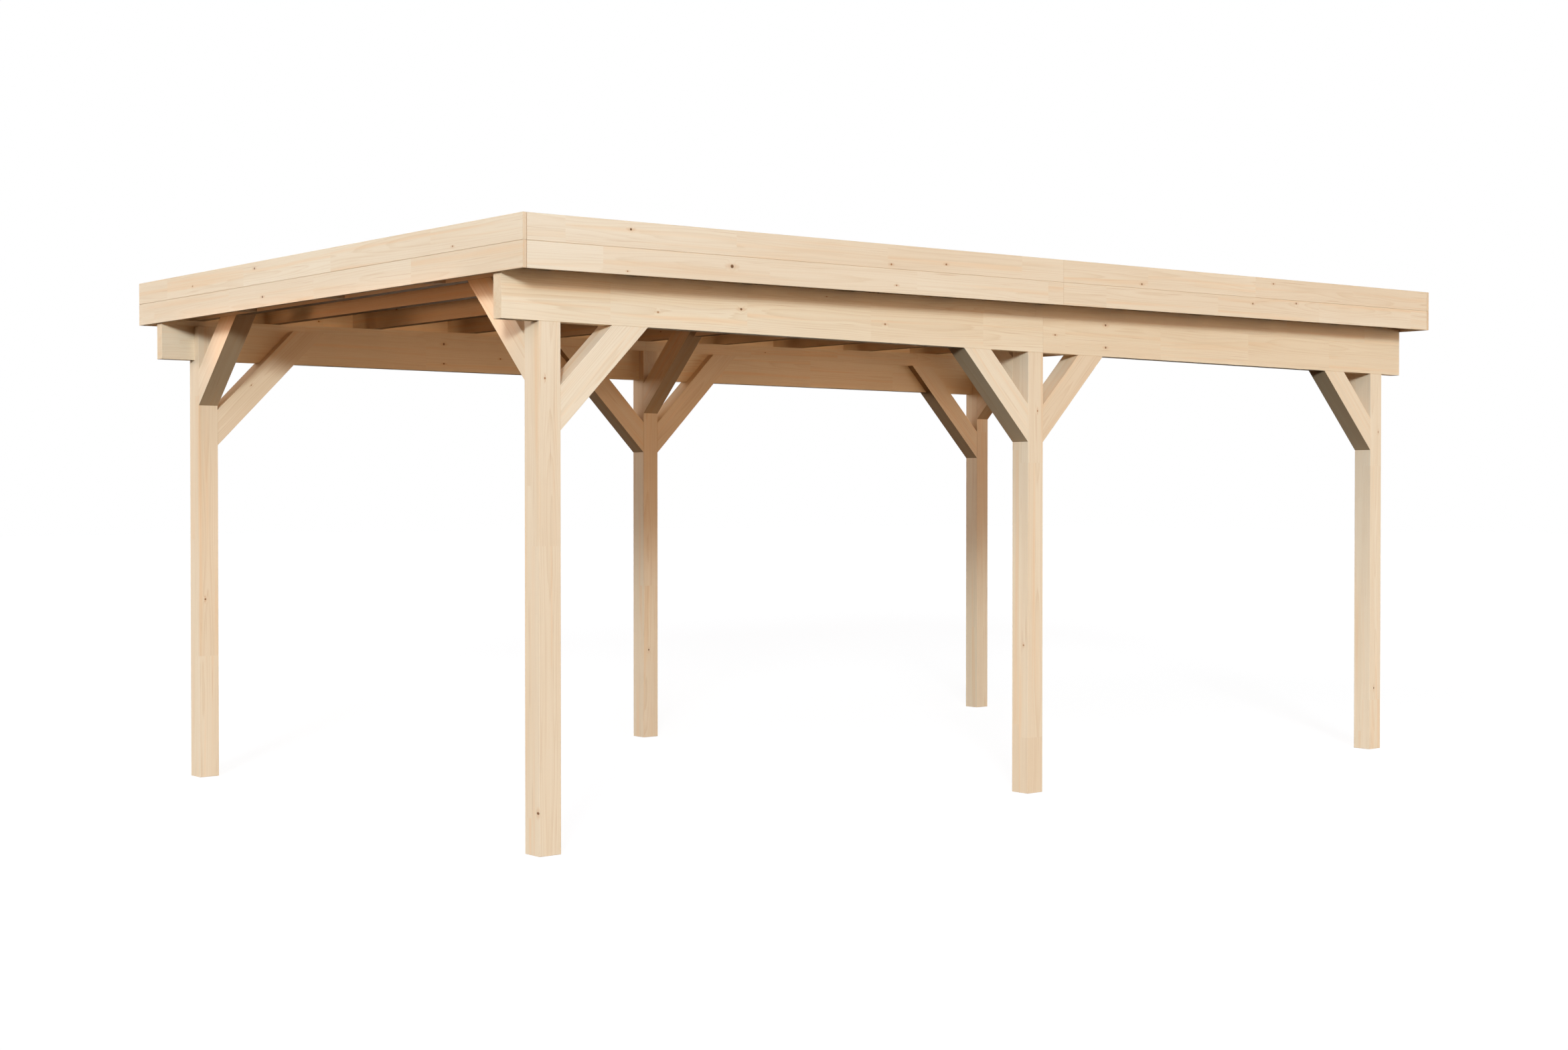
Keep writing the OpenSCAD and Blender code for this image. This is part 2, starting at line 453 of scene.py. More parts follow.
def bar(start, end, across, width, thickness, ease, cuts, sawn_with_painted_shade):
    """A board: an eased section carried along a straight line, with cut and eased ends.

    A point is start + along * s + across * y + through * z, where (y, z) is on the section
    and s runs from the start cut to the end cut. A cut leans by its two slopes, so its
    place is slope_y * y + slope_z * z. At each end the section draws in as its ease turns
    through a quarter circle. Returns the points and their own (s, y, z), the faces, and
    for each face 1 on a cut end, 2 on the lower edge where that takes the darker saw-cut
    finish with painted shade, and 0 elsewhere.
    """
    start = np.asarray(start, float)
    span = np.asarray(end, float) - start
    length = np.linalg.norm(span)
    along = span / length
    across = np.asarray(across, float)
    through = np.cross(along, across)
    radii = np.broadcast_to(np.asarray(ease, float), 4)
    end_ease = float(radii.max()) * 0.8
    turn = np.linspace(0.0, math.pi / 2, end_points)
    drawn_in = end_ease * (1 - np.sin(turn))
    set_back = end_ease * (1 - np.cos(turn))
    middle_share = np.linspace(0.0, 1.0, max(2, int(round(length / ring_spacing)) + 1))[1:-1]
    plain = np.zeros(len(middle_share))
    share = np.concatenate([np.zeros(end_points), middle_share, np.ones(end_points)])
    shift = np.concatenate([set_back, plain, -set_back[::-1]])
    rings = []
    for inset in np.concatenate([drawn_in, plain, drawn_in[::-1]]):
        corner = np.maximum(radii - inset, least_ease)
        rings.append(eased_section(width - 2 * inset, thickness - 2 * inset, corner))
    rings = np.stack(rings)
    (start_y, start_z), (end_y, end_z) = cuts
    y = rings[..., 0]
    z = rings[..., 1]
    first = start_y * y + start_z * z
    last = length + end_y * y + end_z * z
    s = first * (1 - share[:, None]) + last * share[:, None] + shift[:, None]
    own = np.stack([s, y, z], -1).reshape(-1, 3)
    points = start + own @ np.stack([along, across, through])
    ring_count, round_count = rings.shape[:2]
    index = np.arange(ring_count * round_count).reshape(ring_count, round_count)
    beside = np.roll(index, -1, axis=1)
    sides = np.stack([index[:-1], beside[:-1], beside[1:], index[1:]], -1).reshape(-1, 4)
    faces = [tuple(face) for face in sides.tolist()]
    faces.append(tuple(index[0][::-1].tolist()))
    faces.append(tuple(index[-1].tolist()))
    cut = np.zeros(len(faces), int)
    # Faces on the lower edge take a darker finish, partly saw-cut wood and partly painted shade.
    if sawn_with_painted_shade:
        cut[: len(sides)][(own[sides, 1] < edge_band - width / 2).all(axis=1)] = 2
    end_faces = (end_points - 1) * round_count
    cut[:end_faces] = 1
    cut[len(sides) - end_faces :] = 1
    return points, own, faces, cut


def log_of(width, thickness, flat=None):
    """Where the log's heart lies from a board's centre: outside it on a wide or narrow side."""
    if flat is None:
        flat = random.random() < 0.7
    side = 1 if random.random() < 0.5 else -1
    beyond = random.uniform(0.018, 0.075)
    if flat:
        return np.array([random.uniform(-0.3, 0.3) * width, side * (thickness / 2 + beyond)])
    return np.array([side * (width / 2 + beyond), random.uniform(-0.3, 0.3) * thickness])


def knots_of(width, thickness, length, heart, chosen, per_metre):
    """Three knots, each (place along, angle round the heart, radius).

    A chosen knot is a point (s, y, z) on the board's surface and a radius. The rest are
    drawn at random, so many to the metre, and a knot that isn't there has no radius.
    """
    knots = []
    for s, y, z, radius in chosen:
        knots.append((s, math.atan2(z - heart[1], y - heart[0]), radius))
    wanted = min(len(KNOTS), len(knots) + random.poisson(per_metre * length))
    while len(knots) < wanted:
        y = random.uniform(-0.42, 0.42) * width
        z = math.copysign(thickness / 2, -heart[1])
        s = random.uniform(0.08, 0.95) * length
        angle = math.atan2(z - heart[1], y - heart[0])
        knots.append((s, angle, random.uniform(0.0028, 0.0065)))
    while len(knots) < len(KNOTS):
        knots.append((0.0, 0.0, 0.0))
    return knots[: len(KNOTS)]


class Woodwork:
    """One visible piece: boards gathered into a mesh, with each board's log in its attributes."""

    def __init__(self, node, slot):
        self.name = "timber_" + node
        self.slot = slot
        self.node = node
        self.points = []
        self.faces = []
        self.cuts = []
        self.values = {key: [] for key in LOG_ATTRIBUTES}
        self.count = 0

    def board(
        self, start, end, across, width, thickness, ease, cuts=SQUARE_CUTS,
        sawn_with_painted_shade=False, shape=None, heart=None, knots=(), per_metre=0.35, tone=None,
    ):
        """Adds a board. shape moves its points afterwards, for a slope or a taper.

        Its place in its log, lightness and width of rings are drawn at random if not given.
        """
        points, own, faces, cut = bar(start, end, across, width, thickness, ease, cuts, sawn_with_painted_shade)
        if shape is not None:
            points = shape(points)
        length = float(np.linalg.norm(np.asarray(end, float) - np.asarray(start, float)))
        heart = log_of(width, thickness) if heart is None else np.asarray(heart, float)
        seed = random.uniform(0.0, 40.0)
        tone = random.normal(0.0, 0.016) if tone is None else tone
        ring = random.uniform(0.0026, 0.0042)
        offset = round(seed, 3) * 3.0
        grain = own + np.array([offset, -heart[0], -heart[1]])
        self.values["grain"].append(grain)
        self.values["tone"].append(np.broadcast_to([tone, ring, seed], own.shape))
        found = knots_of(width, thickness, length, heart, knots, per_metre)
        for key, (place, angle, radius) in zip(KNOTS, found):
            constant = [place + offset, angle, radius]
            self.values[key].append(np.broadcast_to(constant, own.shape))
        self.points.append(points)
        self.faces += [tuple(i + self.count for i in face) for face in faces]
        self.cuts.append(cut)
        self.count += len(points)

    def finish(self):
        """Makes the object, with the finishes of its slot and its ride on the frame."""
        mesh = bpy.data.meshes.new(self.name)
        mesh.from_pydata(np.concatenate(self.points).tolist(), [], self.faces)
        for key, parts in self.values.items():
            data = np.concatenate(parts).astype(np.float32).ravel()
            mesh.attributes.new(key, "FLOAT_VECTOR", "POINT").data.foreach_set("vector", data)
        for material in TIMBER[self.slot]:
            mesh.materials.append(material)
        finish = np.concatenate(self.cuts).astype(np.int32)
        mesh.polygons.foreach_set("material_index", finish)
        mesh.update()
        place_on_frame(bpy.data.objects.new(self.name, mesh), self.node)


def place_on_frame(piece, node):
    """Links a finished piece, which rides on the one body and stands for its CAD node."""
    bpy.context.scene.collection.objects.link(piece)
    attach(piece, "root")
    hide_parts(node)


def sloped_height(node):
    """Upright height of a node that lies on the slope: its box's less what it climbs."""
    low = lowest(node)
    high = highest(node)
    return high[2] - low[2] - rise * (high[0] - low[0])


def on_the_slope(points):
    """Lifts points by rise * x, so that what was made level lies on the roof's slope.

    Nothing is lifted at x = 0, half way along the carport.
    """
    lifted = points.copy()
    lifted[:, 2] += rise * points[:, 0]
    return lifted


# ---------------------------------------------------------------------------------------
# Posts, beams and tapered boards
# ---------------------------------------------------------------------------------------

# Each row of posts, and which way along Y is out of the carport there.
ROWS = {"front": -1, "back": 1}
PLACES = ("left", "middle", "right")
HALVES = ("left", "right")


def beam_over(row, place):
    """The beam that a post carries: the middle post carries the end of the left one."""
    return f"beam_{row}_{'right' if place == 'right' else 'left'}"


# Knots that show on the posts' outer parts, as (s, y, z, radius) on the board.
POST_KNOTS = {
    ("front", "left"): [(1.648, -0.020, -0.025, 0.0042), (0.150, -0.045, -0.017, 0.0050)],
    ("front", "middle"): [(1.600, 0.012, -0.025, 0.0040), (0.62, -0.045, 0.0, 0.0032)],
    ("front", "right"): [(1.560, 0.020, -0.025, 0.0040), (0.300, -0.010, -0.025, 0.0052)],
    ("back", "left"): [(1.05, 0.020, -0.025, 0.0034)],
}


def make_post(row, place):
    """A post glued up from two parts: the outer one stops at the shoulder under the beam."""
    node = f"post_{row}_{place}"
    beam = beam_over(row, place)
    low = lowest(node)
    high = highest(node)
    out = ROWS[row]
    size = high[0] - low[0]
    outer_t = highest(beam)[1] - lowest(beam)[1]
    inner_t = size - outer_t
    shoulder = lowest(beam)[2]
    outer_face = low[1] if out < 0 else high[1]
    middle_x = centre_of(node)[0]
    outer_y = outer_face - out * outer_t / 2
    inner_y = outer_face - out * (outer_t + inner_t / 2)
    # The board's through direction is +Y, so its outer corners depend on the row.
    outer_corners = (post_ease, post_ease, glue_ease, glue_ease)
    inner_corners = (glue_ease, glue_ease, post_ease, post_ease)
    if out > 0:
        outer_corners, inner_corners = inner_corners, outer_corners
    post = Woodwork(node, "post_timber")
    tone = random.normal(0.0, 0.010)
    post.board(
        (middle_x, outer_y, low[2]), (middle_x, outer_y, shoulder), X, size, outer_t,
        outer_corners, heart=(-0.012, 0.048), knots=POST_KNOTS.get((row, place), ()),
        per_metre=0.15, tone=tone,
    )
    post.board(
        (middle_x, inner_y, low[2]), (middle_x, inner_y, high[2]), X, size, inner_t,
        inner_corners, per_metre=0.3, tone=tone - 0.006,
    )
    post.finish()


# Knots that show on the beams' outer or inner faces.
BEAM_KNOTS = {
    ("front", "left"): [(0.660, -0.017, 0.025, 0.0040), (1.767, -0.002, 0.025, 0.0046)],
    ("front", "right"): [
        (0.074, 0.004, 0.025, 0.0045), (0.392, 0.061, 0.025, 0.0055),
        (0.393, -0.035, 0.025, 0.0050),
    ],
    ("back", "left"): [
        (1.420, 0.056, 0.025, 0.0055), (1.420, -0.038, 0.025, 0.0048),
        (1.739, -0.002, 0.025, 0.0042),
    ],
}


def make_beam(row, half):
    """A plain beam on the posts' shoulders."""
    node = f"beam_{row}_{half}"
    low = lowest(node)
    high = highest(node)
    _, y, z = centre_of(node)
    beam = Woodwork(node, "beam_timber")
    beam.board(
        (low[0], y, z), (high[0], y, z), Z, high[2] - low[2], high[1] - low[1], beam_ease,
        heart=(random.uniform(-0.04, 0.04), -0.075), knots=BEAM_KNOTS.get((row, half), ()),
        per_metre=0.2,
    )
    beam.finish()


def make_tapered_board(row, half):
    """A board on the beam, whose height grows in a straight line from its low to its high end."""
    node = f"tapered_board_{row}_{half}"
    low = lowest(node)
    high = highest(node)
    y = centre_of(node)[1]
    end_h = high[2] - low[2]
    start_h = end_h - rise * (high[0] - low[0])

    def taper(points):
        """Scales each point's height over the beam by the board's height at that place."""
        share = (points[:, 0] - low[0]) / (high[0] - low[0])
        height = start_h + (end_h - start_h) * share
        tapered = points.copy()
        tapered[:, 2] = low[2] + (points[:, 2] - low[2]) * height / end_h
        return tapered

    board = Woodwork(node, "beam_timber")
    middle = low[2] + end_h / 2
    board.board(
        (low[0], y, middle), (high[0], y, middle), Z, end_h, high[1] - low[1], taper_ease,
        shape=taper, per_metre=0.3,
    )
    board.finish()


# ---------------------------------------------------------------------------------------
# Rafters, end blocks and knee braces
# ---------------------------------------------------------------------------------------


def make_rafter(number):
    """A rafter across the carport, with its top and underside on the roof's slope."""
    node = f"rafter_{number}"
    low = lowest(node)
    high = highest(node)
    x = centre_of(node)[0]
    z = underside(0.0) + rafter_h / 2
    rafter = Woodwork(node, "rafter_timber")
    # The rafter's underside is painted darker, partly as saw-cut wood and partly as painted
    # shade.
    rafter.board(
        (x, low[1], z), (x, high[1], z), Z, rafter_h, rafter_t, beam_ease,
        sawn_with_painted_shade=True, shape=on_the_slope, per_metre=0.9,
    )
    rafter.finish()


def make_end_blocks(end):
    """Three short blocks between the end rafter and the end fascia."""
    node = f"end_blocks_{end}"
    low = lowest(node)
    high = highest(node)
    z = underside(0.0) + rafter_h / 2
    blocks = Woodwork(node, "rafter_timber")
    for y in (low[1] + rafter_t / 2, centre_of(node)[1], high[1] - rafter_t / 2):
        blocks.board(
            (low[0], y, z), (high[0], y, z), Z, rafter_h, rafter_t, beam_ease,
            shape=on_the_slope, per_metre=0.2,
        )
    blocks.finish()


# Faces closer together than this are in one plane.
same_place = 0.0001


def brace_bar(work, toe, top, out_way, flat_way, flat_low, flat_high, low_side_out):
    """One part of a knee brace at 45 degrees, cut plumb at its foot and level at its top.

    toe is the foot's lowest point on the post's face and top is the level of the top cut.
    out_way is the direction away from the post. flat_way is the direction square to the
    brace's plane, along which the part runs from flat_low to flat_high. Where low_side_out
    holds, the side at flat_low shows and the one at flat_high is glued, and otherwise the
    other way round. The centre line starts half way up the foot's plumb cut, which is the
    square root of 2 times as high as the brace is deep. Both cuts lean one to one.
    """
    along = (out_way + Z) / math.sqrt(2)
    across = (Z - out_way) / math.sqrt(2)
    through = np.cross(along, across)
    thickness = flat_high - flat_low
    foot = toe + Z * brace_depth / math.sqrt(2) + flat_way * (flat_low + flat_high) / 2
    reach = (top - foot[2]) * math.sqrt(2)
    first_side_out = low_side_out == (through @ flat_way > 0)
    first, second = (post_ease, glue_ease) if first_side_out else (glue_ease, post_ease)
    # The brace's underside is painted darker, partly as saw-cut wood and partly as painted shade.
    work.board(
        foot, foot + along * reach, across, brace_depth, thickness,
        (first, first, second, second), cuts=((1, 0), (-1, 0)), sawn_with_painted_shade=True,
        heart=log_of(brace_depth, thickness, True),
    )


def make_knee_braces(row, place):
    """The braces of one post: one or two under the beam, and one under the rafter.

    Each is glued up from a part that props the timber over it, and a part that runs up
    beside that timber.
    """
    node = f"knee_braces_{row}_{place}"
    post = f"post_{row}_{place}"
    beam = beam_over(row, place)
    low = lowest(post)
    high = highest(post)
    out = ROWS[row]
    outer_t = highest(beam)[1] - lowest(beam)[1]
    shoulder = lowest(beam)[2]
    beam_top = highest(beam)[2]
    outer_face = low[1] if out < 0 else high[1]
    toe_z = lowest(node)[2]
    size = high[0] - low[0]
    braces = Woodwork(node, "brace_timber")
    ways = {"left": (1,), "middle": (1, -1), "right": (-1,)}[place]
    for way in ways:
        face_x = high[0] if way > 0 else low[0]
        toe = np.array([face_x, 0.0, toe_z])
        for top, near, far in (
            (shoulder, outer_face, outer_face - out * outer_t),
            (beam_top, outer_face - out * outer_t, outer_face - out * size),
        ):
            first, last = sorted((near, far))
            low_side_out = first < low[1] + same_place
            brace_bar(braces, toe, top, way * X, Y, first, last, low_side_out)
    # The brace across the carport leaves the post's inner face.
    inner_face = high[1] if out < 0 else low[1]
    reach = shoulder - toe_z
    prop_low = low[0] if place == "left" else high[0] - rafter_t
    beside_low = low[0] + rafter_t if place == "left" else low[0]
    beside_high = beside_low + size - rafter_t
    foot_x = centre_of(post)[0] - size / 2
    toe = np.array([0.0, inner_face, underside(foot_x) - reach])
    for first, last, top in (
        (prop_low, prop_low + rafter_t, underside(prop_low)),
        (beside_low, beside_high, underside(beside_low) + rafter_h),
    ):
        low_side_out = first < low[0] + same_place
        brace_bar(braces, toe, top - brace_top_gap, -out * Y, X, first, last, low_side_out)
    braces.finish()


# ---------------------------------------------------------------------------------------
# Fascia and roof
# ---------------------------------------------------------------------------------------

# Knots that show on the fascia, by length and by board: 0 is the lower one.
FASCIA_KNOTS = {
    ("front_left", 0): [(0.412, -0.034, 0.0075, 0.0030), (0.873, 0.010, 0.0075, 0.0078)],
    ("front_left", 1): [
        (0.426, 0.018, 0.0075, 0.0052), (1.653, -0.030, 0.0075, 0.0042),
        (1.946, -0.013, 0.0075, 0.0046),
    ],
    ("front_right", 0): [(1.25, 0.018, 0.0075, 0.0048), (1.57, 0.034, 0.0075, 0.0048)],
    ("front_right", 1): [(0.49, -0.028, 0.0075, 0.0050), (1.40, 0.022, 0.0075, 0.0044)],
    ("left", 0): [(1.2075, -0.006, 0.0075, 0.0055)],
    ("left", 1): [(1.1375, 0.020, 0.0075, 0.0052), (2.6665, -0.029, 0.0075, 0.0036)],
}


def fascia_pair(work, key, start, end, height, thickness, shape=None):
    """Two boards, one above the other, and the tongue that closes the gap between them.

    start and end are at the lower edge, and run so that the boards' through direction,
    which is their own direction crossed with up, points out of the carport.
    """
    board_h = (height - fascia_gap) / 2
    for level in (0, 1):
        rise_to = Z * (level * (board_h + fascia_gap) + board_h / 2)
        work.board(
            start + rise_to, end + rise_to, Z, board_h, thickness, fascia_ease, shape=shape,
            knots=FASCIA_KNOTS.get((key, level), ()), heart=(random.uniform(-0.02, 0.02), -0.06),
            per_metre=0.12,
        )
    tongue = Z * (board_h + fascia_gap / 2)
    work.board(
        start + tongue, end + tongue, Z, fascia_gap, thickness - 2 * tongue_inset, tongue_ease,
        shape=shape, per_metre=0.0,
    )


def make_end_fascia(end):
    """The level boards across one end, which cover the ends of the long ones."""
    node = f"fascia_{end}"
    low = lowest(node)
    high = highest(node)
    x = centre_of(node)[0]
    work = Woodwork(node, "fascia_timber")
    # The left end's boards run towards -Y, so that their through direction is -X.
    first, last = (high[1], low[1]) if end == "left" else (low[1], high[1])
    fascia_pair(
        work, end, np.array([x, first, low[2]]), np.array([x, last, low[2]]),
        high[2] - low[2], high[0] - low[0],
    )
    work.finish()


def make_long_fascia(row, half):
    """The boards along one side, which follow the roof's slope."""
    node = f"fascia_{row}_{half}"
    low = lowest(node)
    high = highest(node)
    y = centre_of(node)[1]
    height = sloped_height(node)
    level = low[2] - rise * low[0]
    # A hair's breadth stays open where the long boards butt against the end ones.
    left = low[0] + (fascia_end_gap if half == "left" else 0.0)
    right = high[0] - (fascia_end_gap if half == "right" else 0.0)
    first, last = (left, right) if row == "front" else (right, left)
    work = Woodwork(node, "fascia_timber")
    fascia_pair(
        work, f"{row}_{half}", np.array([first, y, level]), np.array([last, y, level]),
        height, high[1] - low[1], on_the_slope,
    )
    work.finish()


def make_roof_boards():
    """Boards along the roof, butted edge to edge in place of tongues and grooves, with a chamfer
    along their lower edges.

    The boards share the width evenly. Each course is two lengths that meet over the
    middle rafter.
    """
    low = lowest("roof_boards")
    high = highest("roof_boards")
    thickness = sloped_height("roof_boards")
    width = high[1] - low[1]
    count = int(round(width / roof_board_cover))
    cover = width / count
    z = low[2] - rise * low[0] + thickness / 2
    joint = centre_of(middle_rafter)[0]
    # Corners in order: the lower two have the chamfer. The through direction is up.
    ease = (roof_board_chamfer, roof_board_chamfer, glue_ease, glue_ease)
    boards = Woodwork("roof_boards", "roof_board_timber")
    for i in range(count):
        y = low[1] + cover * (i + 0.5)
        for first, last in ((low[0], joint), (joint, high[0])):
            boards.board(
                (first, y, z), (last, y, z), Y, cover, thickness, ease,
                shape=on_the_slope, per_metre=0.3, tone=random.normal(0.0, 0.03),
            )
    boards.finish()


felt_dark = (0.022, 0.024, 0.027, 1.0)
felt_pale = (0.085, 0.090, 0.098, 1.0)
mineral_fleck = (0.26, 0.27, 0.28, 1.0)
bitumen = (0.008, 0.008, 0.009, 1.0)


def mineral_felt():
    """Charcoal roofing felt: fine mineral grit, broad weathering, and bitumen bled at the laps.

    The felt attribute is (along the fall, across it, distance past the lap's edge).
    """

    def build(tree):
        place = attribute(tree, "felt")
        past_lap = place.parts()[2]
        grit = place.noise((620.0, 620.0, 620.0), 2.0, 0.7)
        speck = place.noise((1400.0, 1400.0, 1400.0), 1.0)
        cloud = place.noise((2.2, 1.4, 1.0), 4.0)
        streak = place.noise((0.5, 11.0, 1.0), 3.0)
        shade = grit.step(0.32, 0.72) * 0.55 + cloud * 0.35 + streak * 0.15
        colour = mixed(tree, felt_dark, felt_pale, shade)
        colour = mixed(tree, colour, mineral_fleck, speck.step(0.66, 0.76) * 0.6)
        ragged = past_lap + (place.noise((40.0, 90.0, 1.0), 3.0) - 0.5) * 0.012
        bleed = 1 - ragged.step(0.003, 0.011)
        colour = mixed(tree, colour, bitumen, bleed * 0.9)
        height = grit * (1 - bleed) + speck * 0.4
        relief = {"Height": height, "Strength": 0.7, "Distance": 0.0012}
        bump = add_node(tree, "ShaderNodeBump", None, relief)
        return {
            "Base Color": colour,
            "Roughness": 0.92 - bleed * 0.5 - cloud * 0.06,
            "Normal": bump,
            "Specular IOR Level": 0.35,
        }

    return finished("mineral_felt", build)


def make_roof_felt():
    """Felt sheets across the fall, each lapped over the one below, turned up at the edges.

    The top is a height over the roof boards, as a function of (x, y): one thickness, plus
    one more over each lap that eases out past the covered edge, plus a slow ripple, and
    near the rim a quarter circle up to the top of the upstand. The underside is flat.
    """
    low = lowest("roof_felt")
    high = highest("roof_felt")
    level = low[2] - rise * low[0]
    upstand = sloped_height("roof_felt")
    length = high[0] - low[0]
    width = high[1] - low[1]
    sheets = int(round(length / felt_sheet_cover))
    cover = length / sheets
    rim = felt_sheet_t
    bend = felt_bend
    # The lines of points are close together at the rim and at the edge of each lap.
    hair = 0.0008
    lines_along = 7
    lines_across = 46
    rim_lines = np.array(
        [0.0, hair, rim - hair, rim, rim + 0.0012, rim + 0.004, rim + 0.009, rim + bend]
    )
    inner = []
    for i in range(sheets):
        start = i * cover
        if i:
            inner += [start - hair, start + hair, start + 0.03]
        inner += [start + felt_lap - 0.02, start + felt_lap + 0.02, start + felt_lap + 0.06]
        inner += list(np.linspace(start + 0.2, start + cover - 0.05, lines_along))
    inner = np.array([v for v in inner if rim + bend < v < length - rim - bend])
    across = np.linspace(rim + bend, width - rim - bend, lines_across)[1:-1]
    s_lines = np.unique(np.concatenate([rim_lines, inner, length - rim_lines]))
    t_lines = np.unique(np.concatenate([rim_lines, across, width - rim_lines]))
    s, t = np.meshgrid(s_lines, t_lines, indexing="ij")
    edge = np.minimum(np.minimum(s, length - s), np.minimum(t, width - t))
    # Which sheet is on top, and how far the place is past that sheet's lower edge.
    sheet = np.clip(np.floor(s / cover), 0, sheets - 1)
    past = s - sheet * cover
    fading = 1.0 - np.clip((past - felt_lap) / felt_lap_fade, 0.0, 1.0)
    over_lap = np.where(sheet > 0, fading, 0.0)
    over_lap = over_lap * over_lap * (3 - 2 * over_lap)
    ripple = felt_ripple * (
        np.sin(2.1 * t + 1.3 * sheet) * np.sin(5.7 * s + 0.8) + 0.6 * np.sin(7.9 * t + 3.1 * s)
    )
    calm = np.clip((edge - rim - bend) / felt_calm_edge, 0.0, 1.0)
    sheet_top = felt_sheet_t * (1 + 0.85 * over_lap) + np.maximum(ripple, -0.001) * calm
    # The turned-up edge: flat on top, then straight down, then a quarter circle.
    bow = np.clip((edge - rim) / bend, 0.0, 1.0)
    curve = bend * (1 - np.sqrt(np.clip(1 - (1 - bow) ** 2, 0.0, 1.0)))
    wall = np.where(edge <= rim + 1e-6, upstand, np.minimum(upstand, curve + sheet_top))
    top = np.where(edge >= rim + bend - 1e-6, sheet_top, wall)
    top = np.minimum(top, upstand)
    x = low[0] + s
    y = low[1] + t
    base = level + rise * x
    upper = np.stack([x, y, base + top], -1).reshape(-1, 3)
    under = np.stack([x, y, base], -1).reshape(-1, 3)
    rows, columns = s.shape
    index = np.arange(rows * columns).reshape(rows, columns)
    quad = np.stack([index[:-1, :-1], index[1:, :-1], index[1:, 1:], index[:-1, 1:]], -1)
    quad = quad.reshape(-1, 4)
    flat = quad[:, ::-1] + rows * columns
    around = [index[:-1, 0], index[-1, :-1], index[1:, -1][::-1], index[0, 1:][::-1]]
    around = np.concatenate(around)
    after = np.roll(around, -1)
    skirt = np.stack([after, around, around + rows * columns, after + rows * columns], -1)
    faces = np.concatenate([quad, flat, skirt]).tolist()
    mesh = bpy.data.meshes.new("roof_felt_sheets")
    mesh.from_pydata(np.concatenate([upper, under]).tolist(), [], faces)
    lap = np.where(sheet > 0, past, 1.0)
    own = np.stack([s, t, lap], -1).reshape(-1, 3)
    own = np.concatenate([own, own]).astype(np.float32)
    mesh.attributes.new("felt", "FLOAT_VECTOR", "POINT").data.foreach_set("vector", own.ravel())
    mesh.materials.append(mineral_felt())
    mesh.update()
    place_on_frame(bpy.data.objects.new("roof_felt_sheets", mesh), "roof_felt")


# ---------------------------------------------------------------------------------------
# Stage
# ---------------------------------------------------------------------------------------

# The floor: half its side, the share of light that it sends back, and its own pale glow.
floor_reach = 60.0
floor_shade = 0.22
floor_glow = 0.92

# The key light: strength, width across the sky, height over the horizon and turn, in degrees.
key_strength = math.pi * 0.72
key_width = 8.0
key_height = 12.3
key_turn = -41.0
key_colour = (0.88, 1.03, 1.11)

# Colours of the strip lamps, and the width of their lit face.
warm = (1.0, 0.61, 0.35)
amber = (1.0, 0.53, 0.28)
cool = (0.32, 0.62, 1.0)
strip_width = 0.10

# The camera: place, how far it looks down, its turn from +Y in degrees, and its lens.
camera_place = (-6.4991, -7.5087, 1.2388)
camera_dip = 0.751
camera_turn = -39.996
camera_lens = 48.59
camera_sensor = 36.0


def put_up(name, data, place, tilt, turn):
    """Stands a lamp or camera at a place: tilted up from straight down, then turned from +Y."""
    holder = bpy.data.objects.new(name, data)
    holder.location = place
    holder.rotation_euler = (math.radians(tilt), 0.0, math.radians(turn))
    bpy.context.scene.collection.objects.link(holder)
    return holder


def make_floor():
    """A plain pale floor that the camera sees and that takes a faint shadow.

    It is there for the camera alone, so it neither lights nor shades the carport.
    """
    signs = ((-1, -1), (1, -1), (1, 1), (-1, 1))
    corners = [(x * floor_reach, y * floor_reach, 0.0) for x, y in signs]
    mesh = bpy.data.meshes.new("floor")
    mesh.from_pydata(corners, [], [(0, 1, 2, 3)])
    floor = bpy.data.objects.new("floor", mesh)
    bpy.context.scene.collection.objects.link(floor)
    material = bpy.data.materials.new("pale_floor")
    material.use_nodes = True
    tree = material.node_tree
    tree.nodes.clear()
    grey = (floor_shade, floor_shade, floor_shade, 1.0)
    matt = add_node(tree, "ShaderNodeBsdfDiffuse", None, {"Color": grey})
    glow = add_node(tree, "ShaderNodeEmission", None, {"Strength": floor_glow})
    both = add_node(tree, "ShaderNodeAddShader", None, {0: matt, 1: glow})
    add_node(tree, "ShaderNodeOutputMaterial", None, {"Surface": both})
    mesh.materials.append(material)
    for ray in ("visible_diffuse", "visible_glossy", "visible_transmission", "visible_shadow"):
        setattr(floor, ray, False)


def softbox(toward, sides, heights, colour):
    """Light of one colour from a patch of the surroundings, faded at its edges.

    toward is the pair of angles of a ray. The first runs from the carport's front towards
    its left end and the second from the horizon up. sides and heights are the patch's
    (from, to) of each. All are in degrees.
    """
    shares = []
    for angle, (first, last), fade in zip(toward, (sides, heights), (6.0, 2.0)):
        shares.append(angle.step(first - fade, first + fade))
        shares.append(1 - angle.step(last - fade, last + fade))
    patch = shares[0] * shares[1] * shares[2] * shares[3]
    return joined(patch.tree, *(patch * part for part in colour))


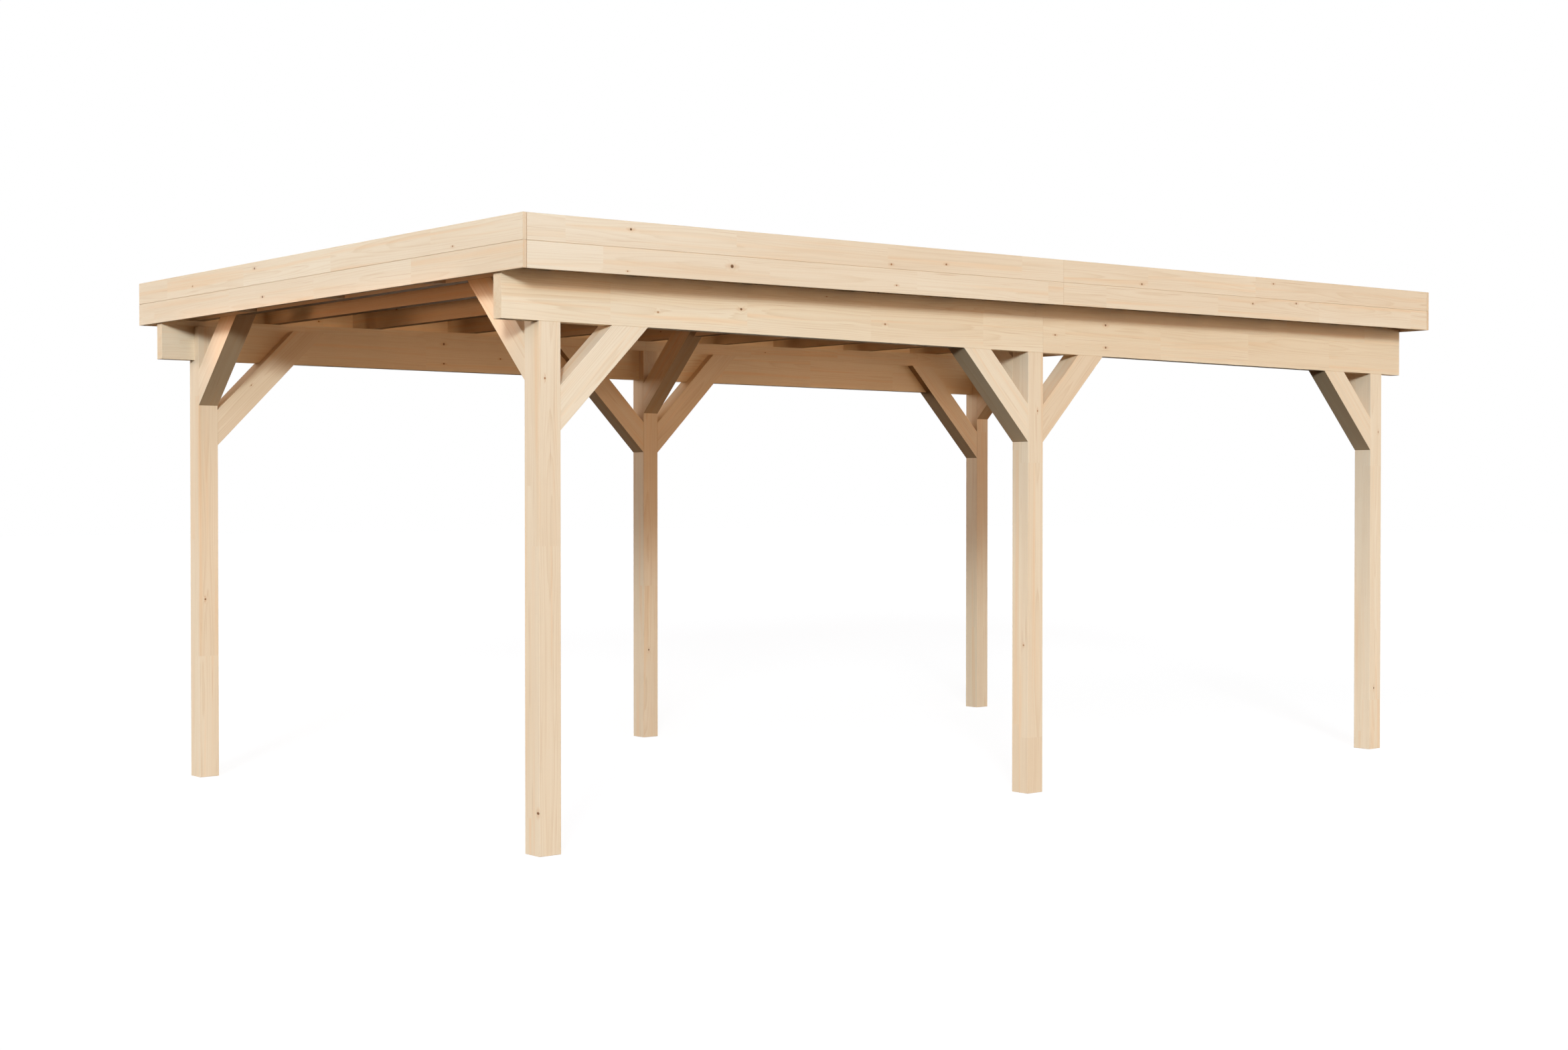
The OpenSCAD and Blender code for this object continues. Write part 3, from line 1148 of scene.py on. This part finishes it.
def make_studio():
    """Soft boxes round the carport, a broad low key from the front left, and strip lamps.

    The camera sees plain white beyond them.
    """
    world = bpy.data.worlds.new("studio")
    bpy.context.scene.world = world
    world.use_nodes = True
    tree = world.node_tree
    tree.nodes.clear()
    x, y, z = add_node(tree, "ShaderNodeTexCoord").parts()
    degree = math.pi / 180
    elevation = z.maths("ARCSINE", z) / degree
    # Measured from the front: -180 to 180 degrees, or 0 to 360 when taken from behind.
    azimuth = x.maths("ARCTAN2", 0 - x, 0 - y) / degree
    around = x.maths("FLOORED_MODULO", azimuth, 360.0)
    from_front = (azimuth, elevation)
    from_behind = (around, elevation)
    light = softbox(from_front, (-45, 45), (5, 40), (0.25, 0.32, 0.45))
    for toward, sides, heights, colour in (
        (from_front, (45, 90), (15, 40), (2.35, 2.20, 2.45)),
        (from_behind, (90, 180), (0, 20), (3.54, 3.20, 2.94)),
        (from_front, (-45, 0), (-5, 15), (3.10, 2.05, 1.25)),
        (from_behind, (180, 315), (-9, 6), (5.40, 4.70, 3.90)),
    ):
        light = light.vector("ADD", softbox(toward, sides, heights, colour))
    glow = add_node(tree, "ShaderNodeBackground", None, {"Color": light})
    white = add_node(tree, "ShaderNodeBackground", None, {"Color": (1.0, 1.0, 1.0, 1.0)})
    seen = add_node(tree, "ShaderNodeLightPath")
    both = add_node(tree, "ShaderNodeMixShader", None, {0: seen, 1: glow, 2: white})
    add_node(tree, "ShaderNodeOutputWorld", None, {"Surface": both})

    key = bpy.data.lights.new("key", "SUN")
    key.energy = key_strength
    key.color = key_colour
    key.angle = math.radians(key_width)
    put_up("key", key, (0.0, 0.0, 0.0), 90.0 - key_height, key_turn)

    # Low-powered strips. Two just behind the front beam face the back row, one outside the
    # left row looks in under the boards, and one lights the near corner from above.
    for name, place, tilt, turn, length, spread, power, colour in (
        ("fill_front_left", (-1.2, -1.18, 1.93), 84.0, 0.0, 2.0, 55.0, 1.75, warm),
        ("fill_front_right", (1.2, -1.18, 1.95), 84.0, 0.0, 2.0, 55.0, 1.75, warm),
        ("fill_left", (-3.15, 0.0, 1.86), 91.0, -90.0, 2.3, 36.0, 1.00, amber),
        ("fill_near", (-2.70, -3.50, 3.00), 62.0, 0.0, 0.8, 120.0, 4.2, cool),
    ):
        strip = bpy.data.lights.new(name, "AREA")
        strip.shape = "RECTANGLE"
        strip.size = length
        strip.size_y = strip_width
        strip.spread = math.radians(spread)
        strip.energy = power
        strip.color = colour
        put_up(name, strip, place, tilt, turn).visible_camera = False


def make_camera():
    """The camera stands off the near left corner, a little above waist height."""
    camera = bpy.data.cameras.new("camera")
    camera.sensor_width = camera_sensor
    camera.lens = camera_lens
    bpy.context.scene.camera = put_up(
        "camera", camera, camera_place, 90.0 - camera_dip, camera_turn
    )


make_camera()
make_studio()
make_floor()

for row_name in ROWS:
    for place_name in PLACES:
        make_post(row_name, place_name)
        make_knee_braces(row_name, place_name)
    for half_name in HALVES:
        make_beam(row_name, half_name)
        make_tapered_board(row_name, half_name)
        make_long_fascia(row_name, half_name)
for rafter_number in range(1, rafter_count + 1):
    make_rafter(rafter_number)
for end_name in HALVES:
    make_end_blocks(end_name)
    make_end_fascia(end_name)
make_roof_boards()
make_roof_felt()

view = bpy.context.scene.view_settings
view.view_transform = "Standard"
view.look = "None"
